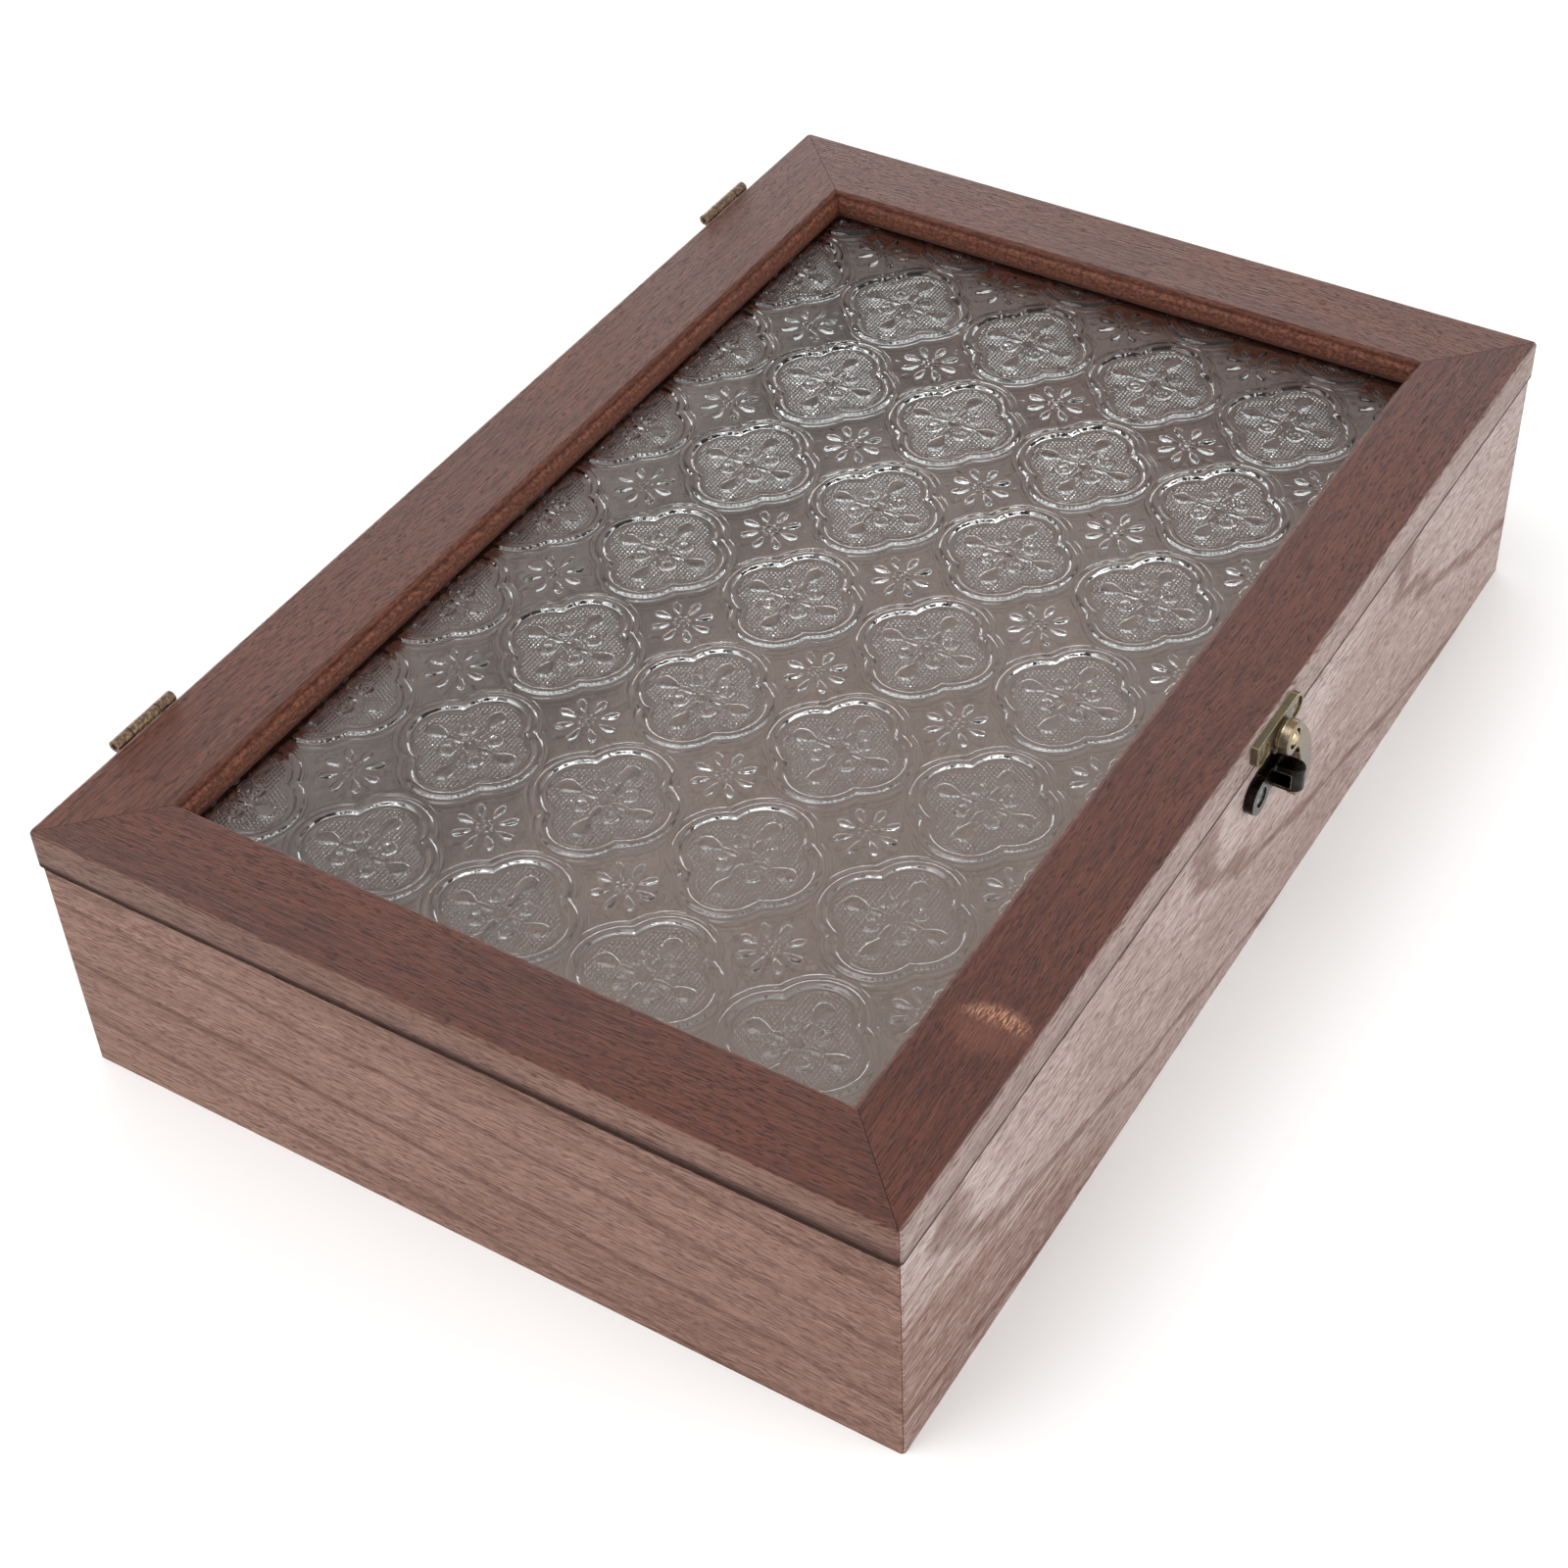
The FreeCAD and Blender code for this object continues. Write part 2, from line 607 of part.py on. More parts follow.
def make_latch_plate():
    """The upper plate: a bar with dished ends, square at its left end, a lobe and a boss for the arm."""
    ends = [f"(latch_at - plate_shift {sign} latch_holes / 2)" for sign in "-+"]
    bar = block(
        "plate_bar", ends[0], ends[1], PLATE_FACE, "-lid_width / 2", "plate_screws - 2", "plate_top"
    )
    corner = block(
        "plate_corner",
        f"{ends[0]} - plate_ear",
        ends[0],
        PLATE_FACE,
        "-lid_width / 2",
        "plate_screws",
        "plate_top",
    )
    discs = [
        rod(f"plate_ear_{number}", (x, PLATE_FACE, "plate_screws"), ALONG_Y, "plate_ear", "plate_thick")
        for number, x in enumerate(ends, start=1)
    ]
    lobe = rod("plate_lobe", ("latch_at", PLATE_FACE, "rivet_at"), ALONG_Y, "plate_low", "plate_thick")
    boss = rod(
        "plate_boss",
        ("latch_at", f"{PLATE_FACE} - boss_high", "rivet_at"),
        ALONG_Y,
        "boss",
        "boss_high + plate_thick / 2",
    )
    dishes = [
        dish(f"plate_dish_{number}", x, PLATE_FACE, "plate_screws") for number, x in enumerate(ends, start=1)
    ]
    screws, holes = screw_row(
        "latch_plate_screws",
        [(x, "plate_screws") for x in ends],
        f"({PLATE_FACE} + dish_deep)",
        1,
        "latch_screw",
        "latch_screw_long",
    )
    rivet_hole = rod(
        "plate_rivet_hole",
        ("latch_at", f"{PLATE_FACE} - boss_high - 1", "rivet_at"),
        ALONG_Y,
        "rivet + fit",
        "boss_high + plate_thick + 2",
    )
    blank = joined("plate_blank", [bar, corner, lobe, boss] + discs)
    plate = cut("latch_plate", blank, [rivet_hole] + dishes + holes)
    return [plate, screws], holes


def make_rivet():
    """The rivet: a shank fixed in the plate and a domed head that sits in the arm's recess."""
    cup_floor = f"({ARM_FACE} + cup_deep)"
    head_back = f"({cup_floor} - 0.1)"
    shank = rod(
        "rivet_shank",
        ("latch_at", head_back, "rivet_at"),
        ALONG_Y,
        "rivet",
        f"-lid_width / 2 - 0.1 - {head_back}",
    )
    # A spherical cap of height rivet_dome on a circle of radius rivet_head.
    ball_radius = "((rivet_head * rivet_head + rivet_dome * rivet_dome) / (2 * rivet_dome))"
    ball = add(
        "Part::Sphere",
        "rivet_ball",
        ("latch_at", f"{head_back} - rivet_dome + {ball_radius}", "rivet_at"),
        Radius=ball_radius,
    )
    slab = block(
        "rivet_slab",
        "latch_at - 5",
        "latch_at + 5",
        f"{head_back} - 5",
        head_back,
        "rivet_at - 5",
        "rivet_at + 5",
    )
    return [joined("latch_rivet", [shank, shared("rivet_cap", ball, slab)])]


def make_keeper():
    """The lower plate: two dished round ears on a waist, with a round-nosed horn that has a side pocket."""
    ends = [f"(latch_at {sign} latch_holes / 2)" for sign in "-+"]
    tray_face = f"(-{TRAY_WIDTH} / 2)"
    discs = [
        rod(f"keeper_ear_{number}", (x, KEEPER_FACE, "keeper_screws"), ALONG_Y, "keeper_ear", "keeper_thick")
        for number, x in enumerate(ends, start=1)
    ]
    waist = block(
        "keeper_waist", f"{ends[0]} + 1", f"{ends[1]} - 1", KEEPER_FACE, tray_face, "keeper_low", "keeper_top"
    )
    nose_radius = "((horn_left + horn_right) / 2)"
    nose_at = ("latch_at + (horn_right - horn_left) / 2", f"({KEEPER_FACE} - horn_reach + {nose_radius})")
    root = block(
        "horn_root",
        "latch_at - horn_left",
        "latch_at + horn_right",
        nose_at[1],
        f"{KEEPER_FACE} + 1",
        "horn_low",
        "horn_top",
    )
    nose = rod("horn_nose", (*nose_at, "horn_low"), None, nose_radius, "horn_top - horn_low")
    horn = rounded(
        "horn_soft_top", joined("horn_blank", [root, nose]), [(level_at(size_of("horn_top")), "horn_soft")]
    )
    pocket = block(
        "horn_pocket",
        "latch_at - horn_left - 1",
        "latch_at + horn_right - pocket_wall",
        f"{KEEPER_FACE} - pocket_deep",
        KEEPER_FACE,
        "horn_low + pocket_floor",
        "pocket_top",
    )
    dishes = [
        dish(f"keeper_dish_{number}", x, KEEPER_FACE, "keeper_screws")
        for number, x in enumerate(ends, start=1)
    ]
    screws, holes = screw_row(
        "keeper_screw_pair",
        [(x, "keeper_screws") for x in ends],
        f"({KEEPER_FACE} + dish_deep)",
        1,
        "latch_screw",
        "latch_screw_long",
    )
    blank = joined("keeper_blank", discs + [waist, horn])
    return [cut("latch_keeper", blank, [pocket] + dishes + holes), screws], holes


def make_arm():
    """The swing arm: an eye on the rivet, and a crescent that comes down beside the horn.

    The outline is in the plane of the arm, with the rivet's axis at its origin."""
    head, out, reach = size_of("arm_head"), size_of("arm_out"), size_of("arm_reach")
    inner = size_of("arm_clear")
    leaves_eye = math.radians(20)
    arcs = [
        ((-head, 0), (0, head), (head * math.cos(leaves_eye), head * math.sin(leaves_eye))),
        (None, (0.85 * out, -0.36 * reach), (out, -0.74 * reach)),
        (None, (0.95 * out, -0.9 * reach), (0.74 * out, -reach)),
        (None, (0.5 * out, -1.005 * reach), (inner + 0.5, -0.93 * reach)),
        (None, (inner + 2.0, -0.62 * reach), (inner + 0.1, -0.33 * reach)),
        (None, (0.72 * inner, -1.12 * head), (0, -head)),
        (None, (-head * math.sqrt(0.5), -head * math.sqrt(0.5)), (-head, 0)),
    ]
    edges, here = [], arcs[0][0]
    for _, through, there in arcs:
        edges.append(Part.Arc(*(FreeCAD.Vector(x, 0, z) for x, z in (here, through, there))).toShape())
        here = there
    thick = size_of("arm_thick")
    plate = Part.Face(Part.Wire(edges)).extrude(FreeCAD.Vector(0, -thick, 0))
    front = [edge for edge in plate.Edges if edge.BoundBox.YMax < -thick + 1e-6]
    plate = plate.makeFillet(size_of("arm_soft"), front)
    towards_front = FreeCAD.Vector(0, -1, 0)
    bore = Part.makeCylinder(size_of("arm_bore"), thick + 2, FreeCAD.Vector(0, 1, 0), towards_front)
    cup_floor = FreeCAD.Vector(0, size_of("cup_deep") - thick, 0)
    cup = Part.makeCylinder(size_of("arm_cup"), thick, cup_floor, towards_front)
    arm = doc.addObject("Part::Feature", "latch_arm")
    arm.Shape = plate.cut(bore).cut(cup)
    for axis, text in zip("xyz", ("latch_at", ARM_BACK, "rivet_at")):
        arm.setExpression("Placement.Base." + axis, in_sheet(text))
    return [arm]


def check_and_write(nodes):
    """Stops on any failed object, then writes one file for each piece."""
    doc.recompute()
    failed = [item.Name for item in doc.Objects if "Invalid" in item.State or "Error" in item.State]
    if failed:
        raise RuntimeError("failed objects: " + ", ".join(failed))
    os.makedirs("parts", exist_ok=True)
    for node in nodes:
        node.Label = node.Name
        if node.Shape.isNull() or not node.Shape.isValid() or not node.Shape.Solids:
            raise RuntimeError("bad shape: " + node.Label)
        node.Shape.exportStep(f"parts/{node.Label}.step")
        print(f"{node.Label:28s} {len(node.Shape.Solids):2d} solid(s) {node.Shape.Volume:12.2f} mm3")
    print(len(nodes), "nodes")


strips, strip_holes = make_glass_strips()
plate_parts, plate_holes = make_latch_plate()
keeper_parts, keeper_holes = make_keeper()
hinges = [make_hinge(side) for side in ("left", "right")]
hinge_parts = [piece for pieces, _, _ in hinges for piece in pieces]
tray_hinge_holes = [hole for _, holes, _ in hinges for hole in holes]
lid_hinge_holes = [hole for _, _, holes in hinges for hole in holes]
check_and_write(
    make_tray(tray_hinge_holes, keeper_holes)
    + make_lid_frame(strip_holes, lid_hinge_holes, plate_holes)
    + [make_glass()]
    + strips
    + hinge_parts
    + plate_parts
    + make_rivet()
    + make_arm()
    + keeper_parts
)
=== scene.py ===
"""Looks for the tabletop display case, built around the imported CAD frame.

The oak-like boards, the fittings and the screws keep their CAD shapes and get procedural materials.
The plain pane is replaced by a patterned one whose relief is real geometry.
Lengths inside the helpers are millimetres, because every size of the case is; MM turns them into metres.
"""

import math

import bpy
import numpy as np
from mathutils import Euler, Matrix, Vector


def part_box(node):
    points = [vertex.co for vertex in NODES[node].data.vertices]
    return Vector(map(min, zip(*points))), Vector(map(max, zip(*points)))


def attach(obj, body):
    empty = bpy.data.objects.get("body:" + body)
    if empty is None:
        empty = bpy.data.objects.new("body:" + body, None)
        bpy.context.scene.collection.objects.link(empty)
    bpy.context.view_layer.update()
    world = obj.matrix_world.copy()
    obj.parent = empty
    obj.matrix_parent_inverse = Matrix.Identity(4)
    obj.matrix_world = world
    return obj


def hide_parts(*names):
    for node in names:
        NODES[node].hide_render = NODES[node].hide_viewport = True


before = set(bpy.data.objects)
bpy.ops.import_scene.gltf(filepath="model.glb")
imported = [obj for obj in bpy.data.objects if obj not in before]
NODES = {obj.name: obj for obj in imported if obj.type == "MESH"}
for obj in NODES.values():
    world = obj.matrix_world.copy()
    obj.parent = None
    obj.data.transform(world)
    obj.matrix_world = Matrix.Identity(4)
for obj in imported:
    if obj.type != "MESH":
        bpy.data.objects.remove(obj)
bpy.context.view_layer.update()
MM = 0.001


# ---------------------------------------------------------------- node helpers

class Shader:
    """A material under construction; each method adds one node and returns its output socket."""

    def __init__(self, name):
        self.material = bpy.data.materials.new(name)
        self.material.use_nodes = True
        self.tree = self.material.node_tree
        self.tree.nodes.clear()
        self.out = self.tree.nodes.new("ShaderNodeOutputMaterial")

    def node(self, kind, sockets=(), **settings):
        made = self.tree.nodes.new(kind)
        for key, value in settings.items():
            setattr(made, key, value)
        for key, value in dict(sockets).items():
            if isinstance(value, bpy.types.NodeSocket):
                self.tree.links.new(value, made.inputs[key])
            else:
                made.inputs[key].default_value = value
        return made

    def math(self, operation, *values, clamp=False):
        sockets = {i: v for i, v in enumerate(values)}
        return self.node("ShaderNodeMath", sockets, operation=operation, use_clamp=clamp).outputs[0]

    def add(self, *values):
        total = values[0]
        for value in values[1:]:
            total = self.math("ADD", total, value)
        return total

    def mul(self, a, b):
        return self.math("MULTIPLY", a, b)

    def sub(self, a, b):
        return self.math("SUBTRACT", a, b)

    def step(self, value, low, high, out_low=0.0, out_high=1.0):
        """A smooth step of value from low to high."""
        sockets = {"Value": value, "From Min": low, "From Max": high, "To Min": out_low, "To Max": out_high}
        return self.node("ShaderNodeMapRange", sockets, interpolation_type="SMOOTHSTEP").outputs[0]

    def position(self):
        """The point in the case's own frame, in millimetres, as three sockets."""
        point = self.node("ShaderNodeTexCoord").outputs["Object"]
        scaled = self.node("ShaderNodeVectorMath", {0: point, 1: (1000, 1000, 1000)}, operation="MULTIPLY")
        split = self.node("ShaderNodeSeparateXYZ", {0: scaled.outputs[0]})
        return split.outputs[0], split.outputs[1], split.outputs[2]

    def vector(self, x, y, z):
        return self.node("ShaderNodeCombineXYZ", {0: x, 1: y, 2: z}).outputs[0]

    def noise(self, where, scale=1.0, detail=2.0, roughness=0.5, distortion=0.0):
        sockets = {"Vector": where, "Scale": scale, "Detail": detail, "Roughness": roughness,
                   "Distortion": distortion}
        return self.node("ShaderNodeTexNoise", sockets).outputs[0]

    def blend(self, fac, a, b, mode="MIX"):
        made = self.node("ShaderNodeMix", {0: fac}, data_type="RGBA", blend_type=mode)
        for socket, value in ((made.inputs[6], a), (made.inputs[7], b)):
            if isinstance(value, bpy.types.NodeSocket):
                self.tree.links.new(value, socket)
            else:
                socket.default_value = (*value, 1)
        return made.outputs[2]

    def bump(self, height, distance_mm, strength=1.0, normal=None):
        sockets = {"Height": height, "Distance": distance_mm * MM, "Strength": strength}
        if normal is not None:
            sockets["Normal"] = normal
        return self.node("ShaderNodeBump", sockets).outputs[0]

    def finish(self, **sockets):
        """Ends in a Principled shader with these sockets, written with _ for the space."""
        plain = {key.replace("_", " "): value for key, value in sockets.items()}
        shader = self.node("ShaderNodeBsdfPrincipled", {})
        for key, value in plain.items():
            if isinstance(value, bpy.types.NodeSocket):
                self.tree.links.new(value, shader.inputs[key])
            elif isinstance(value, tuple) and len(value) == 3:
                shader.inputs[key].default_value = (*value, 1)
            else:
                shader.inputs[key].default_value = value
        self.tree.links.new(shader.outputs[0], self.out.inputs[0])
        return self.material


def dress(material, *names):
    """Gives CAD nodes their material."""
    for name in names:
        for slot in NODES[name].material_slots:
            slot.material = material


# ---------------------------------------------------------------- wood

def wood(name, along, tones, rings, seed=0.0, sides=None, gloss=0.5, scuff=None, sheen_and_brown_end=False):
    """Stained open-pored wood with its grain along one axis.

    tones is (middle, light, dark). rings is (slope, curve, middle, spacing, phase, width, depth): growth
    lines lie where across + slope * along + curve * (across - middle)^2 is a multiple of the spacing.
    sides holds the tones of a lid rail's outer side, lighter and greyer than its top as painted sheen, and
    brings the rusty moulding round the glass.
    bleached is the front wall's look: painted sheen, a lighter grey that grows towards the top in cloudy
    patches, with the wood's own brown at its lower left end.
    """
    s = Shader(name)
    x, y, z = s.position()
    run, across, deep = {"x": (x, z, y), "y": (y, z, x)}[along]
    run, deep = s.add(run, seed), s.add(deep, seed * 0.37)
    tone, light, dark = tones
    if sides:
        # the outer sides get lighter, greyer tones than the top: painted sheen
        beyond = s.math("MAXIMUM", s.sub(s.math("ABSOLUTE", x), 149.6), s.sub(s.math("ABSOLUTE", y), 99.6))
        outer = s.step(beyond, -0.5, 0.1)
        tone, light, dark = (s.blend(outer, a, b) for a, b in zip(tones, sides))

    # slow wander of the fibres, then fibres, pores, pale flecks and broad streaks along them
    wander = s.noise(s.vector(s.mul(run, 0.012), s.mul(across, 0.02), s.mul(deep, 0.02)), detail=0)
    shift = s.mul(s.sub(wander, 0.5), 9.0)
    a, b = s.add(across, shift), s.add(deep, shift)
    fibre = s.noise(s.vector(s.mul(run, 0.085), s.mul(a, 2.2), s.mul(b, 2.2)), detail=3, roughness=0.8)
    streak = s.noise(s.vector(s.mul(run, 0.014), s.mul(a, 0.42), s.mul(b, 0.42)), detail=2, roughness=0.6)
    pore = s.noise(s.vector(s.mul(run, 0.40), s.mul(a, 4.2), s.mul(b, 4.2)), detail=0)
    pore = s.step(s.add(pore, s.mul(s.sub(streak, 0.5), 0.45)), 0.60, 0.69)
    fleck = s.noise(s.vector(s.mul(run, 0.33), s.mul(a, 3.0), s.add(s.mul(b, 3.0), 50)), detail=0)
    fleck = s.step(fleck, 0.61, 0.72)
    cloud = s.noise(s.vector(s.mul(run, 0.011), s.mul(across, 0.03), s.mul(deep, 0.03)), detail=1)

    # growth lines
    slope, curve, middle, spacing, phase, width, depth = rings
    off = s.sub(across, middle)
    t = s.add(s.mul(s.mul(off, off), curve), s.mul(run, slope), s.mul(across, 0.0 if curve else 1.0))
    rough = s.noise(s.vector(s.mul(run, 0.03), s.mul(across, 0.12), s.mul(deep, 0.12)), detail=2)
    place = s.math("PINGPONG", s.add(t, s.mul(s.sub(rough, 0.5), spacing * 0.28), phase), spacing / 2)
    line = s.mul(s.step(place, width, width * 0.3), s.step(fibre, 0.3, 0.6, 0.45, 1.0))

    colour = s.blend(s.step(s.add(s.mul(streak, 0.7), s.mul(cloud, 0.5)), 0.42, 0.78), tone, light)
    if sheen_and_brown_end:
        low = s.sub(s.sub(48, s.mul(s.add(x, 150), 0.5)), z)
        brown = s.step(s.add(low, s.mul(s.sub(streak, 0.5), 60)), -9, 9)
        # painted sheen: the wall is lightened towards a grey, more towards its top and in cloudy patches
        painted_sheen = s.step(s.add(s.mul(cloud, 50), z), 55, 88)
        colour = s.blend(s.mul(painted_sheen, 0.55), colour, (0.47, 0.40, 0.38))
        colour = s.blend(s.mul(brown, 0.85), colour, (0.175, 0.085, 0.060))
    colour = s.blend(s.mul(s.step(fibre, 0.50, 0.62), 0.70), colour, dark)
    colour = s.blend(s.mul(s.step(fibre, 0.49, 0.36), 0.70), colour, light)
    colour = s.blend(s.mul(fleck, 0.40), colour, light)
    colour = s.blend(s.mul(line, depth), colour, dark)
    colour = s.blend(s.mul(pore, 0.62), colour, dark)
    height = s.add(s.mul(pore, -0.9), s.mul(fibre, 1.9), s.mul(fleck, 0.2))

    if sides:
        # painted shade: the lower edge of a rail's outer side is painted dark, deepest and highest at the
        # front of the end rails, where the seam under the lid lies in shade
        top = s.step(y, 60, -60, 60.7, 62.8) if along == "y" else 59.9
        painted_seam_shade = s.mul(s.step(z, top, 58.9), outer)
        colour = s.blend(painted_seam_shade, colour, (0.020, 0.0055, 0.0035))
        edge = s.math("MAXIMUM", s.sub(s.math("ABSOLUTE", x), 129.05), s.sub(s.math("ABSOLUTE", y), 79.05))
        inside = s.step(edge, 0.15, -0.15)
        speck = s.noise(s.vector(s.mul(x, 0.9), s.mul(y, 0.9), s.mul(z, 1.3)), detail=2, roughness=0.8)
        rust = s.blend(s.step(speck, 0.40, 0.64), (0.070, 0.021, 0.012), (0.200, 0.068, 0.036))
        rust = s.blend(s.step(z, 63.6, 62.2), rust, (0.045, 0.014, 0.009))
        colour = s.blend(s.mul(inside, 0.9), colour, rust)
        height = s.add(height, s.mul(s.mul(speck, inside), 1.6))
    if scuff:
        # a patch where the stain has been rubbed through: a pale veil with torn flecks across the grain
        at_x, at_y, half_x, half_y, strength = scuff
        px, py = s.mul(s.sub(x, at_x), 1 / half_x), s.mul(s.sub(y, at_y), 1 / half_y)
        away = s.math("SQRT", s.add(s.mul(px, px), s.mul(py, py)))
        comb = s.noise(s.vector(s.mul(x, 0.40), s.mul(y, 1.7), 3.0), detail=2, roughness=0.75)
        reach = s.add(away, s.mul(s.sub(comb, 0.5), 1.3))
        patch = s.mul(s.step(reach, 1.15, 0.70), s.step(z, 66.9, 67.6))
        torn = s.mul(s.mul(patch, s.step(px, 0.05, 0.55)), s.step(comb, 0.46, 0.58))
        colour = s.blend(s.mul(patch, 0.35), colour, (0.20, 0.065, 0.035))
        colour = s.blend(s.mul(torn, strength), colour, (0.55, 0.28, 0.17))
    roughness = s.add(gloss, s.mul(s.sub(cloud, 0.5), 0.16), s.mul(pore, 0.14))
    if sides:
        # the band of painted seam shade is also made rougher
        roughness = s.add(roughness, s.mul(painted_seam_shade, 0.45))
    return s.finish(Base_Color=colour, Roughness=roughness, Specular_IOR_Level=0.28,
                    Normal=s.bump(height, 0.12, 1.0))


LID = (0.062, 0.0130, 0.0062), (0.118, 0.033, 0.018), (0.026, 0.0056, 0.0030)
LID_BACK = (0.078, 0.023, 0.0135), (0.138, 0.049, 0.031), (0.034, 0.0090, 0.0052)
# painted sheen: lighter, greyer copies of the lid's tones for the rails' outer sides, stronger on the front
# and back rails (LID_SIDES_PAINTED_SHEEN) than on the end rails (END_SIDES_PAINTED_SHEEN)
LID_SIDES_PAINTED_SHEEN = (0.230, 0.160, 0.138), (0.360, 0.275, 0.250), (0.080, 0.038, 0.028)
# painted sheen: the tray walls' tones are far lighter and greyer than the lid's top, most on the front and
# back walls (WALL), less on the end walls (WALL_END)
WALL = (0.275, 0.190, 0.162), (0.440, 0.350, 0.323), (0.105, 0.036, 0.020)
WALL_END = (0.190, 0.092, 0.062), (0.315, 0.182, 0.138), (0.085, 0.028, 0.016)
END_SIDES_PAINTED_SHEEN = (0.142, 0.066, 0.046), (0.248, 0.138, 0.106), (0.060, 0.019, 0.011)
INNER = (0.230, 0.150, 0.120), (0.330, 0.235, 0.200), (0.090, 0.045, 0.034)

dress(wood("lid_front_wood", "x", LID, (0.012, 0, 0, 34, 9, 2.5, 0.35), 40, LID_SIDES_PAINTED_SHEEN,
           scuff=(-101.5, -91, 6.5, 8.5, 0.85)), "lid_rail_front")
dress(wood("lid_back_wood", "x", LID_BACK, (0.02, 0, 0, 30, 4, 2.5, 0.3), 310, LID_SIDES_PAINTED_SHEEN), "lid_rail_back")
dress(wood("lid_left_wood", "y", LID, (0.015, 0, 0, 32, 3, 2.5, 0.3), 77, END_SIDES_PAINTED_SHEEN), "lid_rail_left")
dress(wood("lid_right_wood", "y", LID_BACK, (0.015, 0, 0, 32, 13, 2.5, 0.3), 191, END_SIDES_PAINTED_SHEEN),
      "lid_rail_right")
dress(wood("wall_front_wood", "x", WALL, (-1.0, 0.055, 52, 105, -28, 7.0, 0.72), sheen_and_brown_end=True), "wall_front")
dress(wood("wall_back_wood", "x", WALL, (-1.0, 0.045, 20, 120, 35, 9.0, 0.7), 530), "wall_back")
dress(wood("wall_left_wood", "y", WALL_END, (-0.085, 0, 0, 17, -6, 1.3, 0.6)), "wall_left")
dress(wood("wall_right_wood", "y", WALL_END, (0.06, 0, 0, 21, 2, 1.5, 0.5), 240), "wall_right")
dress(wood("floor_plywood", "x", INNER, (0.01, 0, 0, 45, 9, 2.0, 0.3), 95), "floor_panel")
STRIP_TONES = LID, (0.01, 0, 0, 30, 9, 2.0, 0.3), 12
dress(wood("strip_wood", "x", *STRIP_TONES), "glass_strip_front", "glass_strip_back")
dress(wood("strip_wood_y", "y", *STRIP_TONES), "glass_strip_left", "glass_strip_right")


# ---------------------------------------------------------------- metals

def metal(name, base, bright, edge, patch_mm, worn, gloss=0.34, edge_mm=0.25, metallic=1.0):
    """A cast or plated metal: a dark patina, patches where it has gone, and rubbed edges."""
    s = Shader(name)
    where = s.vector(*s.position())
    patch = s.noise(where, 1.0 / patch_mm, detail=2, roughness=0.6)
    grit = s.noise(where, 3.0, detail=1, roughness=0.7)
    normal = s.node("ShaderNodeNewGeometry").outputs["Normal"]
    soft = s.node("ShaderNodeBevel", {"Radius": edge_mm * MM}, samples=6).outputs[0]
    facing = s.node("ShaderNodeVectorMath", {0: soft, 1: normal}, operation="DOT_PRODUCT").outputs["Value"]
    rubbed = s.mul(s.step(facing, 0.985, 0.86), s.step(grit, 0.30, 0.55))
    colour = s.blend(s.mul(s.step(patch, 0.44, 0.66), worn), base, bright)
    colour = s.blend(rubbed, colour, edge)
    rough = s.add(gloss, s.mul(s.sub(grit, 0.5), 0.35), s.mul(rubbed, -0.08))
    return s.finish(Base_Color=colour, Metallic=metallic, Roughness=rough, Normal=s.bump(grit, 0.05, 0.5))


# The hinges were stained with the wood, so they are mauve-brown with the bronze showing in specks.
HINGE = metal("stained_bronze", (0.105, 0.058, 0.048), (0.330, 0.230, 0.090), (0.240, 0.160, 0.100),
              0.7, 0.7, 0.46, 0.2, metallic=0.45)
PLATE = metal("latch_plate_bronze", (0.150, 0.124, 0.095), (0.240, 0.180, 0.085), (0.80, 0.60, 0.24),
              3.0, 0.5, 0.36, 0.45)
ARM = metal("latch_arm_bronze", (0.200, 0.170, 0.135), (0.300, 0.190, 0.085), (0.85, 0.70, 0.40),
            4.0, 0.6, 0.32, 0.45)
RIVET = metal("latch_rivet_bronze", (0.420, 0.340, 0.210), (0.620, 0.520, 0.320), (0.85, 0.74, 0.48),
              1.5, 0.7, 0.25)
DARK = metal("dark_bronze", (0.018, 0.016, 0.014), (0.050, 0.045, 0.040), (0.60, 0.57, 0.50),
             3.5, 0.5, 0.24, 0.35)
SILVER = metal("plated_screw", (0.42, 0.41, 0.39), (0.62, 0.61, 0.58), (0.75, 0.74, 0.70),
               0.8, 0.6, 0.26, 0.12)
STEEL = metal("steel_brad", (0.30, 0.29, 0.28), (0.42, 0.41, 0.39), (0.5, 0.5, 0.48), 0.8, 0.5, 0.35, 0.1)
for side in ("left", "right"):
    for part in ("tray_leaf", "tray_screws", "lid_leaf", "lid_screws", "pin"):
        dress(HINGE, f"hinge_{side}_{part}")
dress(PLATE, "latch_plate")
dress(ARM, "latch_arm")
dress(RIVET, "latch_rivet")
dress(DARK, "latch_keeper")
dress(SILVER, "latch_plate_screws", "keeper_screw_pair")
dress(STEEL, "floor_brads", "strip_brads")


# ---------------------------------------------------------------- patterned glass

PITCH_X, PITCH_Y = 36.3, 33.8        # one repeat of the pressed pattern
CELL_X, CELL_Y = -7.8, 8.7           # the middle of one flower
BEAD_X, BEAD_Y = PITCH_X / 40, PITCH_Y / 38     # spacing of the beads in a flower's field
STEPS = 4                            # points of the relief to one bead
MARGIN = 3.2                         # plain border that the rails and strips cover
RELIEF = 0.75                        # highest point of the pattern above its ground


def hump(offset, half):
    """A rounded ridge across offset, 1 at 0 and 0 past half."""
    return np.clip(1 - (offset / half) ** 2, 0, None) ** 1.0


